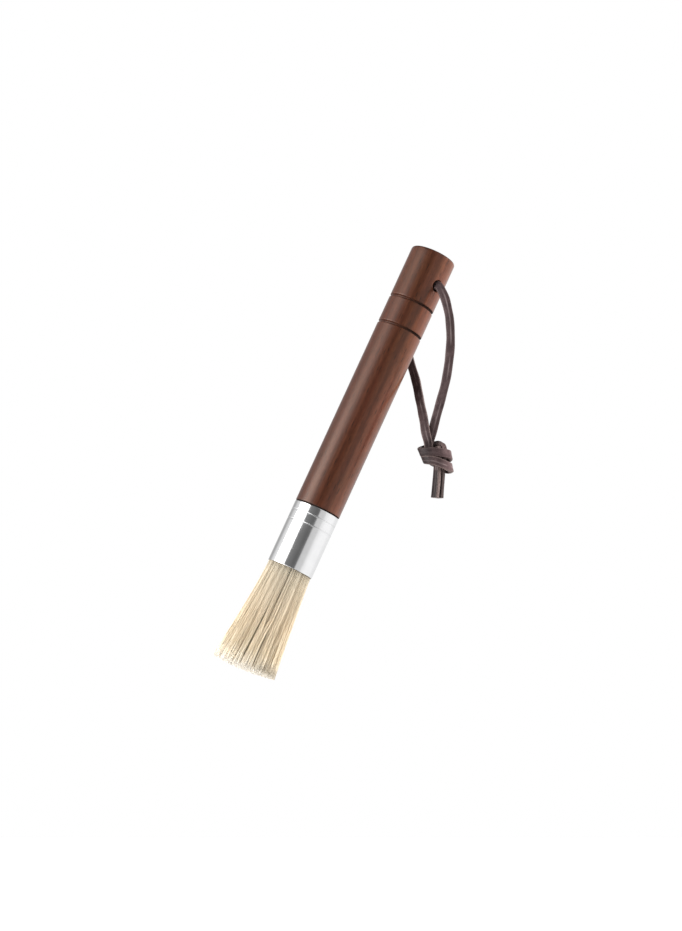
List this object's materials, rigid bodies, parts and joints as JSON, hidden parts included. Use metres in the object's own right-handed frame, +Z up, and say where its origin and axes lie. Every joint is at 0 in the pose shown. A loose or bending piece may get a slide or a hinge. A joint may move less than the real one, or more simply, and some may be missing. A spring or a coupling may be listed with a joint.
{
  "type": "pastry brush",
  "caption": "Round pastry brush: straight dark wooden handle, bright aluminium ferrule, flared pale bristle bundle and a knotted leather hanging loop.",
  "frame": {"origin": "middle of the grip, on the handle's axis", "axes": "+Z up as the brush is held; the handle leans 24.4 degrees from it towards +X, free end up; the front view looks along +Y"},
  "size_m": [0.0931, 0.0281, 0.1715],
  "materials": {
    "walnut": "oiled satin",
    "aluminium": "polished",
    "resin": "cast",
    "bristle": "natural hair",
    "leather": "grain side with cut edges"
  },
  "bodies": {
    "handle": {"handle": "walnut", "ferrule": "aluminium", "resin_plug": "resin", "bristle_root": "bristle"},
    "bristles": {"tuft_01": "bristle", "tuft_02": "bristle", "tuft_03": "bristle", "tuft_04": "bristle", "tuft_05": "bristle", "tuft_06": "bristle", "tuft_07": "bristle", "tuft_08": "bristle", "tuft_09": "bristle", "tuft_10": "bristle", "tuft_11": "bristle", "tuft_12": "bristle", "tuft_13": "bristle", "tuft_14": "bristle", "tuft_15": "bristle", "tuft_16": "bristle", "tuft_17": "bristle", "tuft_18": "bristle", "tuft_19": "bristle"},
    "hang_loop": {"cord_through": "leather", "cord_front": "leather", "cord_back": "leather", "cord_knot": "leather", "cord_tail_a": "leather", "cord_tail_b": "leather"}
  },
  "joints": [
    {"name": "bristle_bend", "type": "hinge", "parent": "handle", "child": "bristles", "pos_m": [-0.03181, 0, -0.07012], "axis": [0, 1, 0], "range_deg": [-25, 25], "stiffness_Nm_per_rad": 0.15},
    {"name": "cord_swing", "type": "hinge", "parent": "handle", "child": "hang_loop", "pos_m": [0.01971, 0, 0.04344], "axis": [0.666, -0.682, -0.3021], "range_deg": [-5, 295]}
  ]
}
